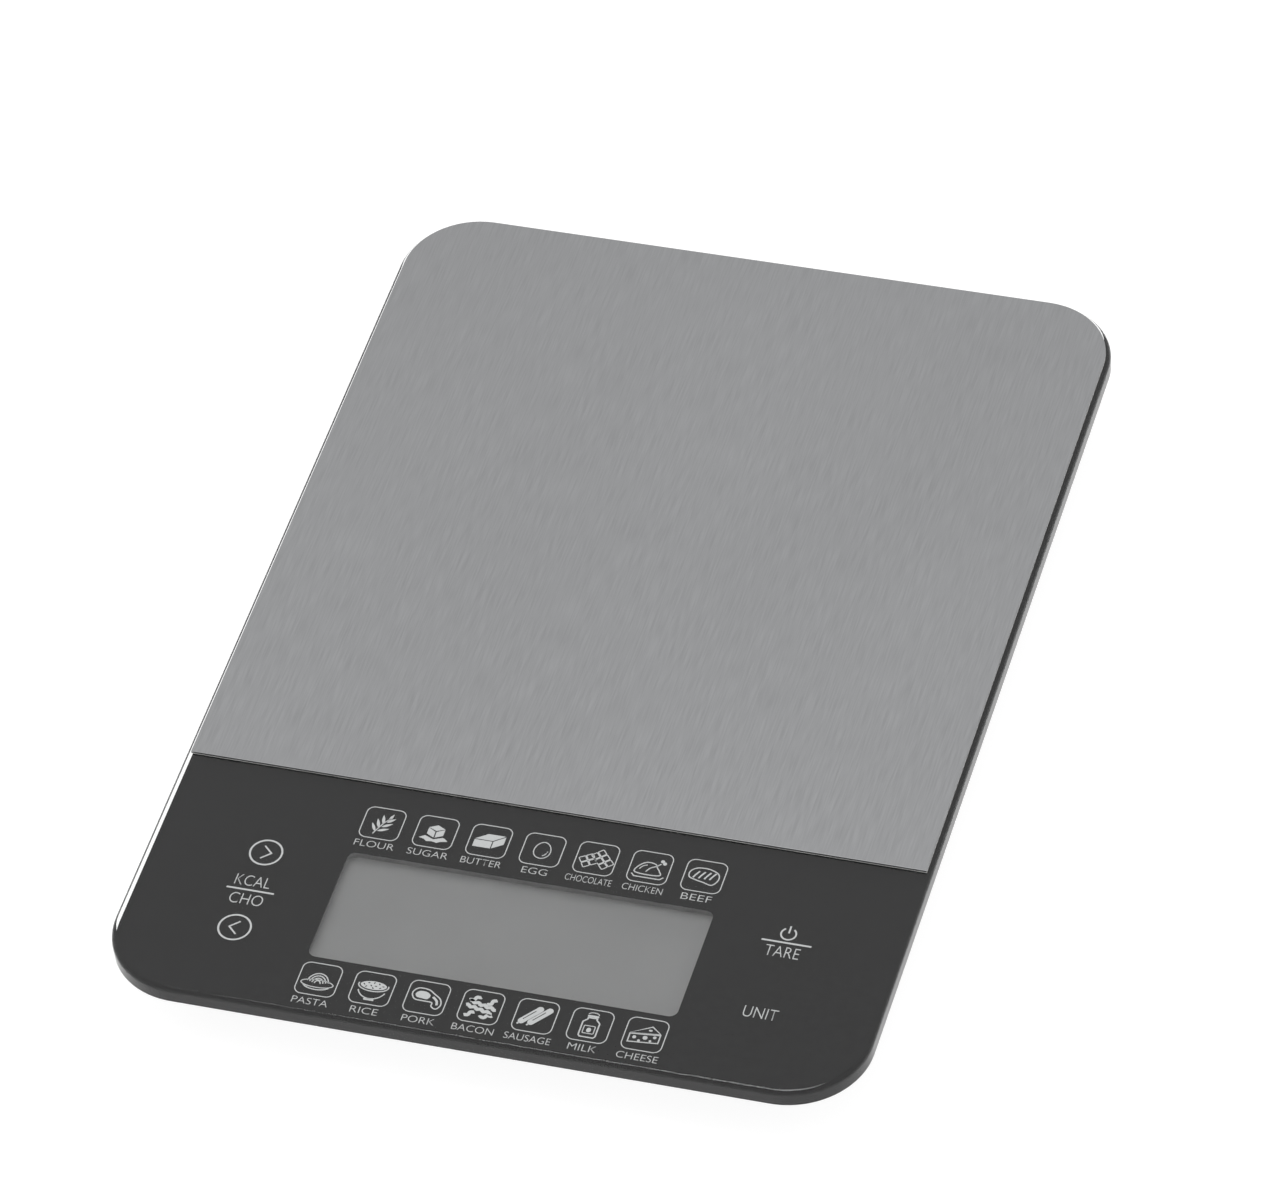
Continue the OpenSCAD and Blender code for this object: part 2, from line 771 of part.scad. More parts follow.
steel_platform_sheet();
sheet_adhesive_film();
glass_platform();
glass_back_print();
touch_sensor_film();
touch_film_tail();
housing_bond_tape();
lower_housing();
glass_support_pads();
display_frame();
display_gasket();
lcd_polarizer();
lcd_panel();
lcd_reflector();
zebra_strips();
circuit_board();
controller_chip();
crystal_oscillator();
board_capacitors();
board_resistors();
load_cell_sockets();
battery_socket();
film_tail_connector();
board_screws();
load_cell_screws();
strain_gauge_coatings();
load_cell(-1, -1);  // front_left_load_cell
load_cell(1, -1);  // front_right_load_cell
load_cell(-1, 1);  // rear_left_load_cell
load_cell(1, 1);  // rear_right_load_cell
lead(-1, front_route);  // front_left_lead
lead(1, front_route);  // front_right_lead
lead(-1, rear_route);  // rear_left_lead
lead(1, rear_route);  // rear_right_lead
battery_cell();
battery_positive_contact();
battery_negative_contact();
battery_lead(positive_route, [0.75, 0.12, 0.10]);  // battery_positive_lead
battery_lead(negative_route, frame_black);  // battery_negative_lead
battery_door();
battery_door_latch();
foot_cup(-1, -1);  // front_left_foot_cup
foot_cup(1, -1);  // front_right_foot_cup
foot_cup(-1, 1);  // rear_left_foot_cup
foot_cup(1, 1);  // rear_right_foot_cup
foot_pad(-1, -1);  // front_left_foot_pad
foot_pad(1, -1);  // front_right_foot_pad
foot_pad(-1, 1);  // rear_left_foot_pad
foot_pad(1, 1);  // rear_right_foot_pad
foot_clip(-1, -1);  // front_left_foot_clip
foot_clip(1, -1);  // front_right_foot_clip
foot_clip(-1, 1);  // rear_left_foot_clip
foot_clip(1, 1);  // rear_right_foot_clip
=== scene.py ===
"""Looks of a slim kitchen scale: clear glass platform over a black back print, a brushed steel
weighing sheet, a blank display, touch key markings and food pictograms. Units are metres; the
markings are laid out in millimetres from the glass platform's front left corner."""
import json
import math

import bmesh
import bpy
from mathutils import Matrix, Vector
from mathutils.geometry import tessellate_polygon


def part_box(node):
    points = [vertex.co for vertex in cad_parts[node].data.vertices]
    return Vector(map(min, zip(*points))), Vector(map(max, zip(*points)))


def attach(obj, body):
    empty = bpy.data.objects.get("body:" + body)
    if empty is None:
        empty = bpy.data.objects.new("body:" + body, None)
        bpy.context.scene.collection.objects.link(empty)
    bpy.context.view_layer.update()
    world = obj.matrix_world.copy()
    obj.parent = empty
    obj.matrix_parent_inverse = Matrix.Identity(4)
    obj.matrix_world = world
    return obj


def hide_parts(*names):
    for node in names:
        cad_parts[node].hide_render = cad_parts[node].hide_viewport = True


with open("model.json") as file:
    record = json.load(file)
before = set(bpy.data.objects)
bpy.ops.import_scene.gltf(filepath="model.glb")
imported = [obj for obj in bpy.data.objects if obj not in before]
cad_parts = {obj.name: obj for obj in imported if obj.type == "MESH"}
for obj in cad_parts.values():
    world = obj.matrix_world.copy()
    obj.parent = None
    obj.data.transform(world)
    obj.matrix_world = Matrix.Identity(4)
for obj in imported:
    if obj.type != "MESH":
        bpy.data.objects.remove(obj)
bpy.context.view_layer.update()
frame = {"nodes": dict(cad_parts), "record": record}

MM = 0.001
NODES = frame["nodes"]
PLATFORM = "platform"

# The camera looks from the front right at a point on the weighing face.
CAMERA_AIM = Vector((0.7, 9.3, 17.0)) * MM
CAMERA_DISTANCE = 1.6855
CAMERA_AZIMUTH = math.radians(20.51)
CAMERA_ELEVATION = math.radians(45.77)
CAMERA_ROLL = math.radians(-6.15)
CAMERA_LENS = 225.65

# The glass, the print on its back with its window, and the steel sheet
GLASS_LOW, GLASS_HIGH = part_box("glass_platform")
PRINT_LOW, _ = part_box("glass_back_print")
PLATE_W = GLASS_HIGH.x - GLASS_LOW.x
PLATE_L = GLASS_HIGH.y - GLASS_LOW.y
PLATE_CORNER_R = 17 * MM
GLASS_EDGE_R = 1.1 * MM
GLASS_LOW_EDGE_R = 0.3 * MM
PRINT_SINK = 0.03 * MM
WINDOW_W = 78 * MM
WINDOW_L = 29 * MM
WINDOW_R = 1.8 * MM
WINDOW_Y = 31 * MM
STEEL_EDGE_R = 0.3 * MM

# Markings, in millimetres from the front left corner of the glass. They lie on its face, and the
# shift puts them where the camera would see them through the glass.
MARK_T = 0.02 * MM
MARK_LOW, MARK_HIGH = GLASS_HIGH.z, GLASS_HIGH.z + MARK_T
MARK_SHIFT_X, MARK_SHIFT_Y = 0.74, -1.76
ICON_W, ICON_H, ICON_R, ICON_LINE = 8.35, 8.4, 1.6, 0.21
ICON_PITCH = 11.45
TOP_ROW_Y, TOP_LABEL_Y = 54.2, 48.3
BOTTOM_ROW_Y, BOTTOM_LABEL_Y = 10.75, 4.8
LABEL_CAP = 1.7
KEY_CAP = 2.85
LETTER_THINNING = -0.012
PANEL_MID_X = 79.8
ARROW_X, ARROW_RIGHT_Y, ARROW_LEFT_Y = 24.3, 41.5, 20.6
ARROW_RING_R, ARROW_RING_LINE = 3.35, 0.4
POWER_X, POWER_Y, POWER_R, POWER_LINE = 135.1, 42.8, 1.55, 0.36

# Pen widths for the pictograms, in millimetres
THIN, PEN, FIRM = 0.22, 0.26, 0.34

# The studio
FLOOR_GREY = 0.2
FLOOR_GLOW = 0.9
WORLD_STRENGTH = 0.95
OVERHEAD_PLACE = Vector((-0.1, 0.05, 1.8))
OVERHEAD_SIZE = 0.8
OVERHEAD_POWER = 9


# ---------------------------------------------------------------- flat shapes
def arc(cx, cy, rx, ry, start, end, steps=24):
    """Points on an ellipse's arc, angles in degrees."""
    angles = [math.radians(start + (end - start) * i / steps) for i in range(steps + 1)]
    return [(cx + rx * math.cos(a), cy + ry * math.sin(a)) for a in angles]


def ellipse(cx, cy, rx, ry, steps=36):
    """A closed loop, its last point one step short of its first."""
    return arc(cx, cy, rx, ry, 0, 360 * (steps - 1) / steps, steps - 1)


def turned(points, degrees, cx=0.0, cy=0.0):
    c, s = math.cos(math.radians(degrees)), math.sin(math.radians(degrees))
    return [(cx + (x - cx) * c - (y - cy) * s, cy + (x - cx) * s + (y - cy) * c) for x, y in points]


def moved(points, dx, dy):
    return [(x + dx, y + dy) for x, y in points]


def rounded_rectangle(w, h, r, steps=8):
    corners = [(w / 2 - r, h / 2 - r, 0), (r - w / 2, h / 2 - r, 90),
               (r - w / 2, r - h / 2, 180), (w / 2 - r, r - h / 2, 270)]
    return [p for cx, cy, a in corners for p in arc(cx, cy, r, r, a, a + 90, steps)]


def smooth(points, closed=True, steps=6):
    """A Catmull-Rom curve through the points."""
    n = len(points)
    out = []
    for i in range(n if closed else n - 1):
        near = [i + k for k in (-1, 0, 1, 2)]
        a, b, c, d = (points[k % n if closed else min(max(k, 0), n - 1)] for k in near)
        for k in range(steps):
            t = k / steps
            out.append(tuple(
                0.5 * (2 * q + (r - p) * t + (2 * p - 5 * q + 4 * r - s) * t * t
                       + (3 * q - p - 3 * r + s) * t ** 3)
                for p, q, r, s in zip(a, b, c, d)))
    return out if closed else out + [points[-1]]


def offset_side(points, distance, closed):
    """The points moved sideways, with mitred corners."""
    n = len(points)
    out = []
    for i, (x, y) in enumerate(points):
        before = points[i - 1] if closed or i else None
        after = points[(i + 1) % n] if closed or i < n - 1 else None
        normals = []
        for a, b in ((before, (x, y)), ((x, y), after)):
            if a is None or b is None:
                continue
            length = math.hypot(b[0] - a[0], b[1] - a[1]) or 1e-9
            normals.append((-(b[1] - a[1]) / length, (b[0] - a[0]) / length))
        nx = sum(v[0] for v in normals) / len(normals)
        ny = sum(v[1] for v in normals) / len(normals)
        scale = distance / max(nx * nx + ny * ny, 0.25)
        out.append((x + nx * scale, y + ny * scale))
    return out


def open_curve(points):
    """A smooth open path through the points."""
    return smooth(points, closed=False)


def line(points, width=PEN, closed=False):
    """A stroke along the points, as the loops of one flat shape."""
    left = offset_side(points, width / 2, closed)
    right = offset_side(points, -width / 2, closed)
    return [left, right] if closed else [left + right[::-1]]


def dot(cx, cy, r, ry=None):
    return [ellipse(cx, cy, r, ry or r, 20)]


def leaf(cx, cy, length, width, degrees):
    """A pointed oval that starts at the point given and grows at an angle."""
    side = [(length * t / 10, width / 2 * math.sin(math.pi * (t / 10) ** 0.8)) for t in range(11)]
    outline = side + [(x, -y) for x, y in side[-2:0:-1]]
    return [moved(turned(outline, degrees), cx, cy)]


def capsule(x0, y0, x1, y1, r):
    """A round-ended bar between two points."""
    a = math.degrees(math.atan2(y1 - y0, x1 - x0))
    return [arc(x1, y1, r, r, a - 90, a + 90, 10) + arc(x0, y0, r, r, a + 90, a + 270, 10)]


# ---------------------------------------------------------------- pictograms
def flour():
    """An ear of wheat: leaves to both sides of a bent stem, and one at its tip."""
    stem = line(open_curve([(-1.3, -3.0), (-0.5, -1.2), (0.3, 0.4), (1.3, 1.7)]), 0.24)
    left = [leaf(-1.0, -2.3, 2.6, 0.62, 118), leaf(-0.5, -1.2, 2.6, 0.66, 110),
            leaf(0.1, 0.0, 2.5, 0.66, 102)]
    right = [leaf(-0.6, -2.1, 2.6, 0.62, 22), leaf(0.0, -0.9, 2.5, 0.64, 30),
             leaf(0.75, 0.5, 2.1, 0.6, 38)]
    return [stem] + left + right + [leaf(0.95, 1.1, 2.0, 0.6, 68)]


def sugar():
    """A lump of sugar, its three faces parted by a gap, on a heap."""
    gap = 0.13
    cx, cy, w, h, side = 0, 0.3, 1.75, 0.85, 1.75
    top = [(cx, cy + gap), (cx + w, cy + h), (cx, cy + 2 * h), (cx - w, cy + h)]
    left = [(cx - w, cy + h - gap), (cx - w, cy + h - side), (cx - gap, cy - side), (cx - gap, cy - gap)]
    right = [(cx + gap, cy - gap), (cx + gap, cy - side), (cx + w, cy + h - side), (cx + w, cy + h - gap)]
    heap = [(-3.1, -1.9), (-2.2, -1.3), (-1.9, -1.15), (0, -1.95), (1.9, -1.15), (2.4, -1.4),
            (3.1, -2.0), (1.7, -2.3), (0.9, -2.75), (-0.2, -2.5), (-1.3, -2.7), (-1.9, -2.2)]
    return [[top], [left], [right], [heap]]


def butter():
    """A block seen from above and one side."""
    front = [(-3.1, -1.9), (0.7, -1.9), (0.7, 0.0), (-3.1, 0.0)]
    top = [(-3.05, 0.2), (0.75, 0.2), (3.1, 1.9), (-0.6, 1.9)]
    end = [(0.92, -1.85), (3.2, -0.3), (3.2, 1.7), (0.92, 0.05)]
    return [[front], [top], [end]]


def egg():
    """An egg with a shine in two strokes."""
    outline = [(1.75 * math.cos(a) * (1 - 0.1 * math.sin(a)), 2.2 * math.sin(a) - 0.1)
               for a in (math.radians(10 * i) for i in range(36))]
    shine = [line(arc(0, -0.1, 1.15, 1.5, start, end, steps), THIN)
             for start, end, steps in ((285, 335, 8), (345, 355, 3))]
    return [line(outline, THIN, closed=True)] + shine


def chocolate():
    """Two broken bars, one leaning on the other."""
    shapes = []
    for cx, cy, lean, rows, columns in ((-1.55, -0.75, 32, 2, 2), (1.35, 0.05, -48, 2, 3)):
        for i in range(columns):
            for j in range(rows):
                x, y = (i - (columns - 1) / 2) * 1.6, (j - (rows - 1) / 2) * 1.5
                block = moved(rounded_rectangle(1.4, 1.3, 0.18, 2), x, y)
                shapes.append(line(moved(turned(block, lean), cx, cy), THIN, closed=True))
    return shapes


def chicken():
    """A roast bird on a plate."""
    body = smooth([(-2.9, -1.6), (-2.4, 0.1), (-0.9, 1.3), (0.9, 1.1), (1.5, 0.2), (2.1, -0.6),
                   (2.5, -1.7), (0.0, -2.0)])
    thigh = line(open_curve([(-0.6, -1.2), (0.1, -0.1), (1.2, 0.6), (2.0, 1.4)]))
    shine = line(open_curve([(-2.1, -0.7), (-1.5, 0.2), (-0.7, 0.6)]), THIN)
    plate = line([(-3.4, -2.1), (-2.7, -2.8), (2.7, -2.8), (3.4, -2.1)])
    knuckle = [dot(2.15, 2.1, 0.42), dot(2.7, 1.6, 0.42)]
    return [line(body, closed=True), thigh, shine, plate] + knuckle


def beef():
    """A steak with grill marks."""
    edge = smooth([(-3.1, 0.9), (-1.8, 2.0), (0.6, 2.1), (2.7, 1.2), (3.1, -0.4), (2.1, -2.0),
                   (0.2, -1.6), (-1.5, -1.2), (-3.0, -0.6)])
    grill = [line(open_curve([(x - 0.5, -0.7), (x - 0.1, 0.2), (x + 0.5, 1.2)]), FIRM)
             for x in (-1.7, -0.5, 0.7, 1.8)]
    return [line(edge, closed=True)] + grill


def pasta():
    """A mound of pasta on a plate."""
    rim = line(ellipse(0, -1.1, 3.4, 1.0), THIN, closed=True)
    strands = [line(arc(0, -1.3, r, 1.15 * r + 0.25, 14, 166, 16)) for r in (2.3, 1.75, 1.2, 0.65)]
    return [rim] + strands + [line(arc(0, -1.2, 3.0, 1.5, 205, 335, 14))]


def rice():
    """A full bowl seen from a little above."""
    grains = [(-2.0, 0.9), (-1.1, 1.4), (0.0, 1.55), (1.1, 1.4), (2.0, 0.9), (-1.5, 0.4), (-0.5, 0.75),
              (0.5, 0.75), (1.5, 0.4), (0.0, 0.15)]
    holes = [turned(ellipse(x, y, 0.27, 0.14, 10), 50 * (i % 3) - 50, x, y)
             for i, (x, y) in enumerate(grains)]
    rim = line(arc(0, 0.8, 3.15, 1.5, 165, 375, 26))
    bowl = line(arc(0, 0.3, 3.0, 3.0, 200, 340, 20))
    foot = [moved(rounded_rectangle(2.2, 0.45, 0.15, 2), 0, -2.95)]
    return [[ellipse(0, 0.85, 2.75, 1.1)] + holes, rim, bowl, foot]


def pork():
    """A chop with its bone."""
    edge = smooth([(-3.2, 0.8), (-2.3, 2.2), (-0.2, 2.2), (1.3, 1.3), (2.8, 0.2), (3.3, -1.3),
                   (2.6, -2.5), (1.5, -2.0), (1.3, -1.0), (-0.6, -0.9), (-2.4, -0.7)])
    meat = smooth([(-2.5, 0.7), (-1.8, 1.5), (-0.3, 1.5), (0.6, 0.7), (0.2, -0.3), (-0.9, -0.3),
                   (-2.1, -0.1)])
    bone = line(open_curve([(1.2, 0.5), (2.2, -0.4), (2.5, -1.5)]), 0.5)
    return [line(edge, 0.28, closed=True), [meat], bone]


def bacon():
    """Wavy rashers: two long ones, and short ones across their ends."""
    shapes = []
    for cx, cy, half, lean in ((0.25, 0.55, 3.0, -14), (-0.25, -0.65, 3.0, -14), (-1.7, 1.95, 1.2, 35),
                               (1.9, 1.6, 1.1, 50), (-1.9, -2.1, 1.1, 40), (1.6, -2.25, 1.3, 25)):
        wave = [(x, 0.2 * math.sin(4.2 * x)) for x in (half * (i / 10 - 1) for i in range(21))]
        shapes.append(line(moved(turned(wave, lean), cx, cy), 0.8))
    return shapes


def sausage():
    """Two sausages, each with a shine and a tied end."""
    shapes = []
    for dx in (-1.0, 1.0):
        skin = capsule(dx - 1.5, -1.7, dx + 1.5, 1.9, 0.72)
        shine = capsule(dx - 1.25, -1.1, dx + 0.75, 1.3, 0.1)
        shapes.append(skin + shine)
        shapes.append(line([(dx - 2.2, -2.6), (dx - 1.95, -2.3)], 0.4))
    return shapes


def milk():
    """A bottle with a label and a lid, and a curved line over the lid."""
    side = [(-0.95, 2.0), (-0.95, 1.6), (-1.75, 0.8), (-1.75, -2.7), (-1.4, -3.1)]
    outline = line(side + [(-x, y) for x, y in side[::-1]], 0.3, closed=True)
    label = line(moved(rounded_rectangle(2.3, 2.0, 0.2, 2), 0, -1.1), 0.2, closed=True)
    lid = [moved(rounded_rectangle(2.4, 0.5, 0.2, 2), 0, 2.45)]
    lid_top = line(arc(0, 2.9, 1.1, 0.5, 0, 180, 8), 0.2)
    return [outline, label, dot(0, -1.2, 0.5, 0.6), lid, lid_top]


def cheese():
    """A wedge with holes."""
    top = [(-3.1, 0.1), (1.0, 2.3), (3.1, 0.7)]
    side = [(-3.1, -0.15), (3.1, 0.45), (3.1, -1.7), (-3.1, -2.3)]
    holes = [dot(-2.0, -0.95, 0.4), dot(0.2, -0.75, 0.5), dot(2.1, -0.35, 0.36), dot(-0.9, -1.7, 0.3),
             dot(1.4, -1.4, 0.28), dot(0.8, 1.3, 0.4, 0.24)]
    return [line(top, closed=True), line(side, closed=True)] + holes


# Each pictogram with its label and the label's printed width
TOP_ROW = [(flour, "FLOUR", 8.5), (sugar, "SUGAR", 8.7), (butter, "BUTTER", 8.6), (egg, "EGG", 5.4),
           (chocolate, "CHOCOLATE", 9.8), (chicken, "CHICKEN", 8.5), (beef, "BEEF", 6.4)]
BOTTOM_ROW = [(pasta, "PASTA", 7.6), (rice, "RICE", 5.8), (pork, "PORK", 6.9), (bacon, "BACON", 8.7),
              (sausage, "SAUSAGE", 9.7), (milk, "MILK", 5.9), (cheese, "CHEESE", 8.6)]
# Each touch key word with its middle and its printed width
KEY_WORDS = [("KCAL", 24.15, 33.4, 7.5), ("CHO", 24.25, 28.4, 7.1),
             ("TARE", 135.1, 37.9, 7.2), ("UNIT", 135.2, 21.2, 7.1)]
# The rules at the key words: left end, right end and height
KEY_RULES = [(19.2, 29.4, 30.9), (130.1, 140.5, 40.4)]
RULE_LINE = 0.42


# ---------------------------------------------------------------- mesh helpers
def add_prism(bm, loops, low, high):
    """One flat shape, an outer loop and its holes, as a closed prism. Triangles of no area are left out."""
    no_area = 1e-16
    flat = [Vector((x, y, 0)) for loop in loops for x, y in loop]
    triangles = tessellate_polygon([[Vector((x, y, 0)) for x, y in loop] for loop in loops])
    lower = [bm.verts.new((v.x, v.y, low)) for v in flat]
    upper = [bm.verts.new((v.x, v.y, high)) for v in flat]
    for a, b, c in triangles:
        if (flat[b] - flat[a]).cross(flat[c] - flat[a]).length < no_area:
            continue
        bm.faces.new((upper[a], upper[b], upper[c]))
        bm.faces.new((lower[c], lower[b], lower[a]))
    start = 0
    for loop in loops:
        n = len(loop)
        for i in range(n):
            a, b = start + i, start + (i + 1) % n
            bm.faces.new((lower[a], lower[b], upper[b], upper[a]))
        start += n


def piece_from(bm, name, material):
    """A visual piece that rides on the platform."""
    bmesh.ops.recalc_face_normals(bm, faces=bm.faces)
    mesh = bpy.data.meshes.new(name)
    bm.to_mesh(mesh)
    bm.free()
    piece = bpy.data.objects.new(name, mesh)
    bpy.context.scene.collection.objects.link(piece)
    mesh.materials.append(material)
    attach(piece, PLATFORM)
    return piece


def on_panel(x, y):
    """A point given in millimetres from the front left corner, in the shared frame."""
    return GLASS_LOW.x + (x + MARK_SHIFT_X) * MM, GLASS_LOW.y + (y + MARK_SHIFT_Y) * MM


def marks(name, shapes, material):
    """Printed marks from flat shapes in panel millimetres."""
    bm = bmesh.new()
    for loops in shapes:
        add_prism(bm, [[on_panel(x, y) for x, y in loop] for loop in loops], MARK_LOW, MARK_HIGH)
    piece_from(bm, name, material)


def flat_word(text):
    """A word's filled outline, flat and at the font's own size."""
    curve = bpy.data.curves.new(text, "FONT")
    curve.body = text
    curve.offset = LETTER_THINNING
    holder = bpy.data.objects.new(text, curve)
    bpy.context.scene.collection.objects.link(holder)
    curve.fill_mode = "FRONT"
    bpy.context.view_layer.update()
    mesh = holder.evaluated_get(bpy.context.evaluated_depsgraph_get()).to_mesh()
    word = bmesh.new()
    word.from_mesh(mesh)
    holder.to_mesh_clear()
    bpy.data.objects.remove(holder)
    bpy.data.curves.remove(curve)
    return word


def lettering(name, words, material):
    """Printed words: each is (text, middle x, middle y, cap height, width)."""
    bm = bmesh.new()
    for text, x, y, cap, width in words:
        word = flat_word(text)
        xs = [v.co.x for v in word.verts]
        ys = [v.co.y for v in word.verts]
        sx, sy = width / (max(xs) - min(xs)), cap / (max(ys) - min(ys))
        mid = Vector(((max(xs) + min(xs)) / 2, (max(ys) + min(ys)) / 2))
        for v in word.verts:
            px, py = on_panel(x + (v.co.x - mid.x) * sx, y + (v.co.y - mid.y) * sy)
            v.co = (px, py, MARK_LOW)
        bmesh.ops.remove_doubles(word, verts=word.verts, dist=1e-7)
        grown = bmesh.ops.extrude_face_region(word, geom=word.faces[:])["geom"]
        tops = [g for g in grown if isinstance(g, bmesh.types.BMVert)]
        bmesh.ops.translate(word, vec=(0, 0, MARK_HIGH - MARK_LOW), verts=tops)
        scratch = bpy.data.meshes.new("scratch")
        word.to_mesh(scratch)
        word.free()
        bm.from_mesh(scratch)
        bpy.data.meshes.remove(scratch)
    piece_from(bm, name, material)


# ---------------------------------------------------------------- glass and its back print
def edge_profile(steps=12):
    """The glass edge from its lower flat to its upper flat: inset, height and the two normal parts."""
    thickness = GLASS_HIGH.z - GLASS_LOW.z
    lower = (GLASS_LOW_EDGE_R, GLASS_LOW_EDGE_R, -90)
    upper = (GLASS_EDGE_R, thickness - GLASS_EDGE_R, 0)
    rings = []
    for r, centre, start in (lower, upper):
        for i in range(steps + 1):
            a = math.radians(start + 90 * i / steps)
            rings.append((r * (1 - math.cos(a)), centre + r * math.sin(a), math.cos(a), math.sin(a)))
    return rings


def glass_slab(name, material):
    """The glass platform with rounded edges and exact normals."""
    corner_steps = 20
    r = PLATE_CORNER_R
    bm = bmesh.new()
    normals, loops = [], []
    for inset, z, side, up in edge_profile():
        ring = []
        for cx, cy, start in ((1, 1, 0), (-1, 1, 90), (-1, -1, 180), (1, -1, 270)):
            for i in range(corner_steps + 1):
                a = math.radians(start + 90 * i / corner_steps)
                x = cx * (PLATE_W / 2 - r) + (r - inset) * math.cos(a)
                y = cy * (PLATE_L / 2 - r) + (r - inset) * math.sin(a)
                ring.append(bm.verts.new((x, y, GLASS_LOW.z + z)))
                normals.append((side * math.cos(a), side * math.sin(a), up))
        loops.append(ring)
    n = len(loops[0])
    for lower, upper in zip(loops, loops[1:]):
        for i in range(n):
            bm.faces.new((lower[i], lower[(i + 1) % n], upper[(i + 1) % n], upper[i]))
    bm.faces.new(loops[0][::-1])
    bm.faces.new(loops[-1])
    for face in bm.faces:
        face.smooth = True
    piece = piece_from(bm, name, material)
    piece.data.normals_split_custom_set_from_vertices(normals)
    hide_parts("glass_platform")


def back_print(name, material):
    """The black ink on the back of the glass, sunk a hair into it so that no air lies between."""
    bm = bmesh.new()
    border = PRINT_LOW.x - GLASS_LOW.x
    outer = rounded_rectangle(PLATE_W - 2 * border, PLATE_L - 2 * border, PLATE_CORNER_R - border, 16)
    window = moved(rounded_rectangle(WINDOW_W, WINDOW_L, WINDOW_R), 0, GLASS_LOW.y + WINDOW_Y)
    add_prism(bm, [outer, window], PRINT_LOW.z, GLASS_LOW.z + PRINT_SINK)
    piece = piece_from(bm, name, material)
    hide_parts("glass_back_print")


# ---------------------------------------------------------------- materials
# The range that most of a noise's values lie in
NOISE_LOW, NOISE_HIGH = 0.3, 0.7


def new_material(name, color, roughness, metallic=0.0):
    material = bpy.data.materials.new(name)
    material.use_nodes = True
    shader = material.node_tree.nodes["Principled BSDF"]
    shader.inputs["Base Color"].default_value = (*color, 1)
    shader.inputs["Roughness"].default_value = roughness
    shader.inputs["Metallic"].default_value = metallic
    return material, shader


def noise(material, scale, detail=3.0, stretch=(1, 1, 1)):
    """A noise in object space, its features about 1/scale metres wide."""
    tree = material.node_tree
    coordinates = tree.nodes.new("ShaderNodeTexCoord")
    mapping = tree.nodes.new("ShaderNodeMapping")
    mapping.inputs["Scale"].default_value = stretch
    texture = tree.nodes.new("ShaderNodeTexNoise")
    texture.inputs["Scale"].default_value = scale
    texture.inputs["Detail"].default_value = detail
    tree.links.new(coordinates.outputs["Object"], mapping.inputs["Vector"])
    tree.links.new(mapping.outputs["Vector"], texture.inputs["Vector"])
    return texture.outputs["Fac"]


def vary_roughness(material, shader, value, low, high):
    """A roughness from low to high over the noise's middle range."""
    tree = material.node_tree
    node = tree.nodes.new("ShaderNodeMapRange")
    node.inputs["From Min"].default_value = NOISE_LOW
    node.inputs["From Max"].default_value = NOISE_HIGH
    node.inputs["To Min"].default_value = low
    node.inputs["To Max"].default_value = high
    tree.links.new(value, node.inputs["Value"])
    tree.links.new(node.outputs["Result"], shader.inputs["Roughness"])


def vary_color(material, shader, value, dark, light):
    """A colour from dark to light over the noise's middle range."""
    tree = material.node_tree
    ramp = tree.nodes.new("ShaderNodeValToRGB")
    ramp.color_ramp.elements[0].position = NOISE_LOW
    ramp.color_ramp.elements[0].color = (*dark, 1)
    ramp.color_ramp.elements[1].position = NOISE_HIGH
    ramp.color_ramp.elements[1].color = (*light, 1)
    tree.links.new(value, ramp.inputs["Fac"])
    tree.links.new(ramp.outputs["Color"], shader.inputs["Base Color"])


def add_bump(material, shader, value, depth):
    tree = material.node_tree
    bump = tree.nodes.new("ShaderNodeBump")
    bump.inputs["Strength"].default_value = 1.0
    bump.inputs["Distance"].default_value = depth
    tree.links.new(value, bump.inputs["Height"])
    tree.links.new(bump.outputs["Normal"], shader.inputs["Normal"])


def shade(color, factor):
    return tuple(c * factor for c in color)


def grained(name, color, roughness, scale, depth_mm, contrast, metallic=0.0, stretch=(1, 1, 1)):
    """A general surface: fine relief, uneven roughness and a slight unevenness of colour."""
    material, shader = new_material(name, color, roughness, metallic)
    fine = noise(material, scale, 4, stretch)
    broad = noise(material, scale / 12, 2, stretch)
    vary_color(material, shader, broad, shade(color, 1 - contrast), shade(color, 1 + contrast))
    vary_roughness(material, shader, fine, roughness - 0.07, roughness + 0.07)
    add_bump(material, shader, fine, depth_mm * MM)
    return material


def brushed_steel():
    """Fine short grain along Y on an even grey, with very faint clouds."""
    color = (0.303, 0.306, 0.312)
    material, shader = new_material("brushed_steel", color, 0.36, 1.0)
    tree = material.node_tree
    grain = noise(material, 3000, 2, (1, 0.04, 1))
    clouds = noise(material, 30, 2, (1, 0.5, 1))
    mixed = tree.nodes.new("ShaderNodeMix")
    mixed.data_type = "FLOAT"
    mixed.inputs["Factor"].default_value = 0.25
    tree.links.new(grain, mixed.inputs["A"])
    tree.links.new(clouds, mixed.inputs["B"])
    vary_color(material, shader, mixed.outputs["Result"], shade(color, 0.915), shade(color, 1.055))
    vary_roughness(material, shader, grain, 0.3, 0.42)
    add_bump(material, shader, grain, 0.004 * MM)
    return material


def clear_glass():
    """Toughened glass: clear, with a very faint roller wave and hardly seen smudges."""
    material, shader = new_material("clear_glass", (0.985, 0.992, 0.988), 0.0)
    shader.inputs["Transmission Weight"].default_value = 1.0
    shader.inputs["IOR"].default_value = 1.5
    vary_roughness(material, shader, noise(material, 35, 3), 0.0, 0.012)
    add_bump(material, shader, noise(material, 9, 1), 0.01 * MM)
    return material


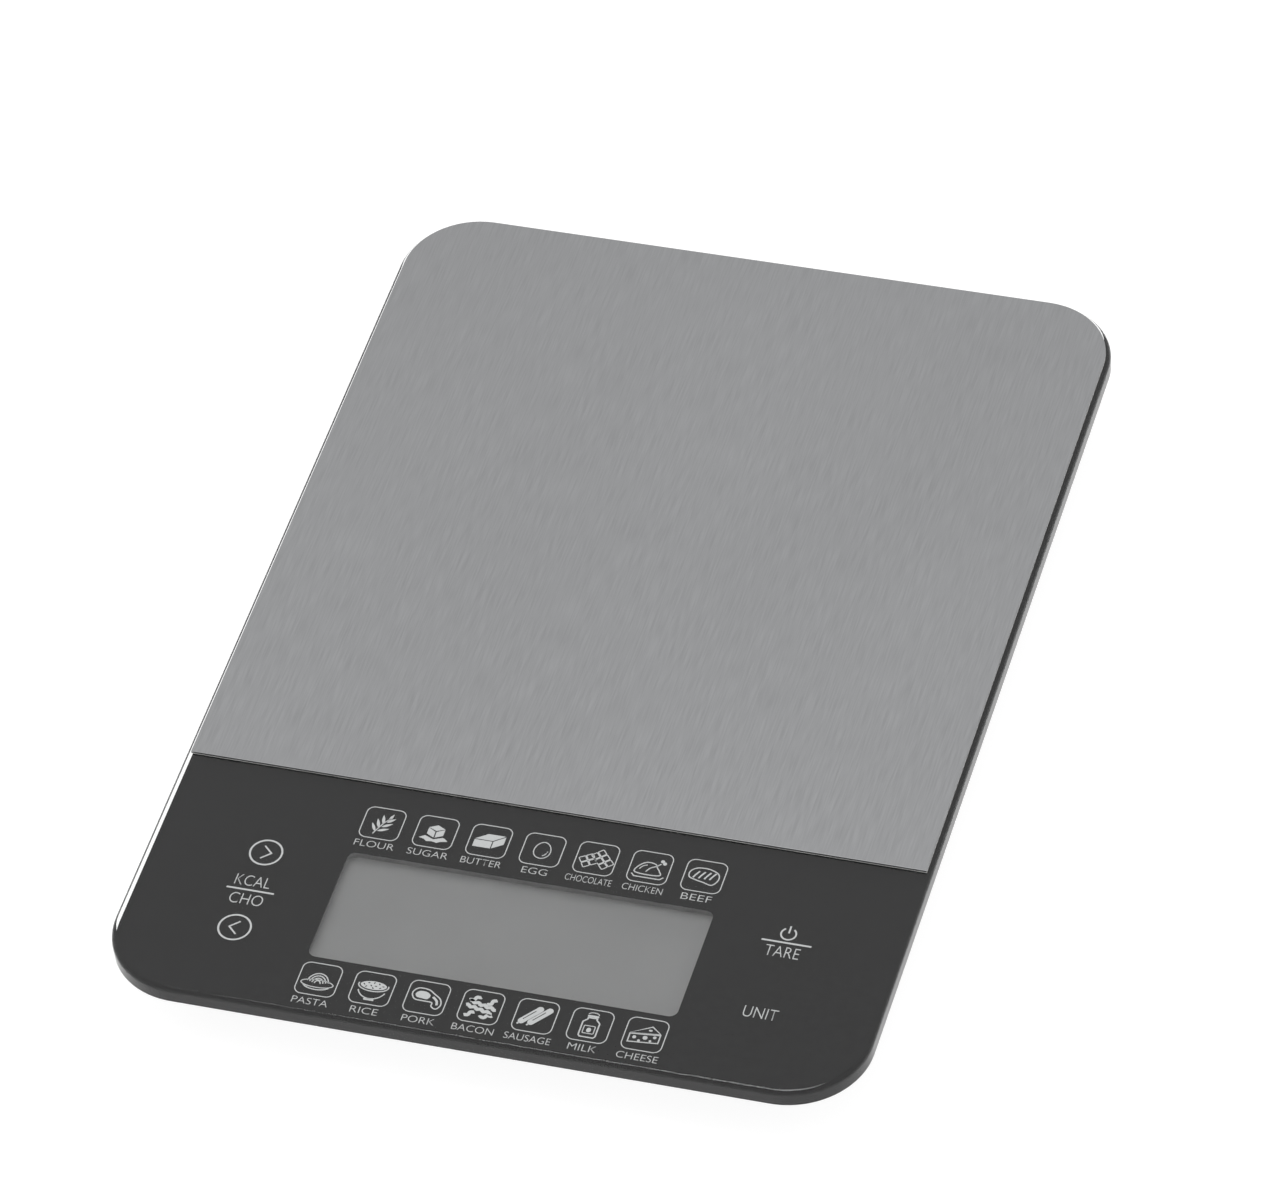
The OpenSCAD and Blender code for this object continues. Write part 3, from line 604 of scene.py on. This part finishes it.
def black_ink():
    """Fired ceramic ink, nearly black, with a faint screen-print unevenness."""
    material, shader = new_material("black_print", (0.010, 0.010, 0.0105), 0.55)
    shader.inputs["Specular IOR Level"].default_value = 0.0
    vary_color(material, shader, noise(material, 600, 3), (0.008, 0.008, 0.0085), (0.012, 0.012, 0.0125))
    return material


def pale_ink():
    """Light grey ink of the markings, with slightly uneven cover."""
    material, shader = new_material("panel_marking", (0.46, 0.47, 0.47), 0.5)
    shader.inputs["Specular IOR Level"].default_value = 0.0
    vary_color(material, shader, noise(material, 4000, 2), (0.44, 0.45, 0.45), (0.48, 0.49, 0.49))
    return material


def display_face():
    """Matt grey polarizer film with a fine frosted grain."""
    color = (0.246, 0.246, 0.246)
    material, shader = new_material("lcd_face", color, 0.5)
    vary_color(material, shader, noise(material, 60, 2), shade(color, 0.97), shade(color, 1.03))
    vary_roughness(material, shader, noise(material, 9000, 2), 0.45, 0.6)
    return material


def thin_display_glass():
    """Slightly green display glass, half clear."""
    material, shader = new_material("lcd_glass", (0.75, 0.82, 0.80), 0.1)
    shader.inputs["Transmission Weight"].default_value = 0.6
    vary_color(material, shader, noise(material, 300, 2), (0.72, 0.79, 0.77), (0.78, 0.85, 0.83))
    return material


def coin_steel():
    """Nickel-plated can with a fine turned grain."""
    material, shader = new_material("cell_steel", (0.62, 0.62, 0.62), 0.25, 1.0)
    tree = material.node_tree
    coordinates = tree.nodes.new("ShaderNodeTexCoord")
    rings = tree.nodes.new("ShaderNodeTexWave")
    rings.wave_type = "RINGS"
    rings.rings_direction = "Z"
    rings.inputs["Scale"].default_value = 900
    rings.inputs["Distortion"].default_value = 0.6
    tree.links.new(coordinates.outputs["Object"], rings.inputs["Vector"])
    vary_roughness(material, shader, noise(material, 2600, 2), 0.22, 0.3)
    vary_color(material, shader, noise(material, 2200, 2), (0.60, 0.60, 0.60), (0.64, 0.64, 0.64))
    add_bump(material, shader, rings.outputs["Fac"], 0.004 * MM)
    return material


def make_materials():
    """One material for each slot of the record. A row is colour, roughness, noise scale, relief depth
    in mm, colour contrast, and where needed the metallic part and the noise's stretch."""
    rows = {
        "adhesive_film": ((0.72, 0.72, 0.70), 0.5, 2500, 0.01, 0.12),
        "amber_film": ((0.50, 0.24, 0.05), 0.28, 900, 0.01, 0.2),
        "foam": ((0.025, 0.025, 0.025), 0.9, 2600, 0.08, 0.25),
        "housing_plastic": ((0.024, 0.024, 0.026), 0.48, 2200, 0.035, 0.15),
        "frame_plastic": ((0.09, 0.09, 0.09), 0.55, 2200, 0.02, 0.15),
        "zebra_rubber": ((0.16, 0.16, 0.18), 0.6, 1500, 0.01, 0.4, 0.0, (8, 1, 1)),
        "board_laminate": ((0.015, 0.13, 0.045), 0.3, 1200, 0.01, 0.2),
        "chip_epoxy": ((0.018, 0.018, 0.02), 0.5, 3000, 0.01, 0.2),
        "capacitor_ceramic": ((0.42, 0.27, 0.14), 0.45, 3000, 0.01, 0.2),
        "socket_plastic": ((0.72, 0.70, 0.62), 0.4, 2200, 0.01, 0.08),
        "bright_metal": ((0.66, 0.66, 0.64), 0.24, 1600, 0.004, 0.1, 1.0),
        "load_cell_steel": ((0.52, 0.51, 0.47), 0.34, 1400, 0.006, 0.12, 1.0, (1, 0.06, 1)),
        "silicone": ((0.80, 0.80, 0.77), 0.42, 900, 0.05, 0.06),
        "red_lead": ((0.50, 0.02, 0.015), 0.4, 1500, 0.01, 0.12),
        "black_lead": ((0.02, 0.02, 0.02), 0.4, 1500, 0.01, 0.2),
        "white_lead": ((0.76, 0.76, 0.73), 0.42, 1500, 0.01, 0.06),
        "foot_rubber": ((0.030, 0.030, 0.032), 0.72, 1900, 0.03, 0.2),
    }
    materials = {slot: grained(slot, *row) for slot, row in rows.items()}
    materials["brushed_steel"] = brushed_steel()
    materials["clear_glass"] = clear_glass()
    materials["black_print"] = black_ink()
    materials["lcd_face"] = display_face()
    materials["lcd_glass"] = thin_display_glass()
    materials["cell_steel"] = coin_steel()
    return materials


def dress_cad_nodes(materials):
    """Every CAD node takes the material of its slot in the record."""
    for entry in frame["record"]["subparts"]:
        node = NODES[entry["node"]]
        node.data.materials.clear()
        node.data.materials.append(materials[entry["material_slot"]])


def soften_edges(node_name, width):
    """A small bevel that catches light on the node's sharp edges."""
    node = NODES[node_name]
    weld = node.modifiers.new("weld", "WELD")
    weld.merge_threshold = 1e-6
    bevel = node.modifiers.new("edge", "BEVEL")
    bevel.width = width
    bevel.segments = 2
    bevel.limit_method = "ANGLE"
    bevel.angle_limit = math.radians(40)
    bevel.harden_normals = True


# ---------------------------------------------------------------- markings
def row_x(row, i):
    return PANEL_MID_X + (i - (len(row) - 1) / 2) * ICON_PITCH


def row_shapes(row, y):
    """A row's icon frames, and the pictograms in them."""
    frames, pictures = [], []
    outer = rounded_rectangle(ICON_W, ICON_H, ICON_R)
    for i, (picture, _, _) in enumerate(row):
        x = row_x(row, i)
        frames.append([moved(loop, x, y) for loop in line(outer, ICON_LINE, closed=True)])
        pictures += [[moved(loop, x, y) for loop in loops] for loops in picture()]
    return frames, pictures


def row_words(row, y):
    """A row's labels, as lettering takes them."""
    return [(word, row_x(row, i), y, LABEL_CAP, width) for i, (_, word, width) in enumerate(row)]


def key_shapes():
    """Two arrow keys, the power sign, and a rule over or between the words of the other keys."""
    shapes = []
    for y, way in ((ARROW_RIGHT_Y, 1), (ARROW_LEFT_Y, -1)):
        ring = ellipse(ARROW_X, y, ARROW_RING_R, ARROW_RING_R, 48)
        shapes.append(line(ring, ARROW_RING_LINE, closed=True))
        back, tip = ARROW_X - 0.75 * way, ARROW_X + 1.15 * way
        shapes.append(line([(back, y + 1.75), (tip, y), (back, y - 1.75)], FIRM))
    for left, right, y in KEY_RULES:
        shapes.append(line([(left, y), (right, y)], RULE_LINE))
    shapes.append(line(arc(POWER_X, POWER_Y, POWER_R, POWER_R, 125, 415, 32), POWER_LINE))
    shapes.append(line([(POWER_X, POWER_Y + 0.2), (POWER_X, POWER_Y + 2.1)], POWER_LINE))
    return shapes


def print_markings(material):
    """Both rows of pictograms with their labels, and the touch keys."""
    for place, row, y in (("upper", TOP_ROW, TOP_ROW_Y), ("lower", BOTTOM_ROW, BOTTOM_ROW_Y)):
        frames, pictures = row_shapes(row, y)
        marks(f"{place}_icon_frames", frames, material)
        marks(f"{place}_pictograms", pictures, material)
    lettering("upper_labels", row_words(TOP_ROW, TOP_LABEL_Y), material)
    lettering("lower_labels", row_words(BOTTOM_ROW, BOTTOM_LABEL_Y), material)
    marks("touch_key_marks", key_shapes(), material)
    words = [(word, x, y, KEY_CAP, width) for word, x, y, width in KEY_WORDS]
    lettering("touch_key_words", words, material)


# ---------------------------------------------------------------- stage
def add_camera():
    """The photograph's camera, rolled a little to the side."""
    data = bpy.data.cameras.new("camera")
    data.lens = CAMERA_LENS
    data.sensor_width = 36
    data.clip_end = 50
    camera = bpy.data.objects.new("camera", data)
    bpy.context.scene.collection.objects.link(camera)
    az, el = CAMERA_AZIMUTH, CAMERA_ELEVATION
    forward = Vector((-math.sin(az) * math.cos(el), math.cos(az) * math.cos(el), -math.sin(el)))
    level = Vector((math.cos(az), math.sin(az), 0))
    rise = level.cross(forward)
    right = level * math.cos(CAMERA_ROLL) + rise * math.sin(CAMERA_ROLL)
    up = right.cross(forward)
    turn = Matrix((right, up, -forward)).transposed().to_4x4()
    camera.matrix_world = Matrix.Translation(CAMERA_AIM - forward * CAMERA_DISTANCE) @ turn
    bpy.context.scene.camera = camera


def add_floor():
    """A wide floor, lit mostly by its own glow so that it is as white as the photograph's background."""
    bm = bmesh.new()
    bmesh.ops.create_grid(bm, x_segments=1, y_segments=1, size=6)
    mesh = bpy.data.meshes.new("floor")
    bm.to_mesh(mesh)
    bm.free()
    floor = bpy.data.objects.new("floor", mesh)
    bpy.context.scene.collection.objects.link(floor)
    floor.location.z = -0.05 * MM
    grey = (FLOOR_GREY,) * 3
    material, shader = new_material("floor", grey, 0.75)
    vary_color(material, shader, noise(material, 3, 2), shade(grey, 0.995), shade(grey, 1.005))
    shader.inputs["Emission Color"].default_value = (1, 1, 1, 1)
    shader.inputs["Emission Strength"].default_value = FLOOR_GLOW
    mesh.materials.append(material)


def add_overhead_light():
    """A square soft light high above, turned towards the scale."""
    data = bpy.data.lights.new("overhead", "AREA")
    data.shape = "RECTANGLE"
    data.size, data.size_y = OVERHEAD_SIZE, OVERHEAD_SIZE
    data.energy = OVERHEAD_POWER
    light = bpy.data.objects.new("overhead", data)
    bpy.context.scene.collection.objects.link(light)
    light.location = OVERHEAD_PLACE
    light.rotation_euler = (-OVERHEAD_PLACE).to_track_quat("-Z", "Y").to_euler()


def add_lights():
    """An even white world and one overhead light."""
    world = bpy.data.worlds.new("studio")
    bpy.context.scene.world = world
    world.use_nodes = True
    background = world.node_tree.nodes["Background"]
    background.inputs["Color"].default_value = (1, 1, 1, 1)
    background.inputs["Strength"].default_value = WORLD_STRENGTH
    add_overhead_light()
    bpy.context.scene.view_settings.view_transform = "Standard"


add_camera()
add_floor()
add_lights()
surfaces = make_materials()
dress_cad_nodes(surfaces)
soften_edges("steel_platform_sheet", STEEL_EDGE_R)
glass_slab("glass_slab", surfaces["clear_glass"])
back_print("back_print", surfaces["black_print"])
print_markings(pale_ink())
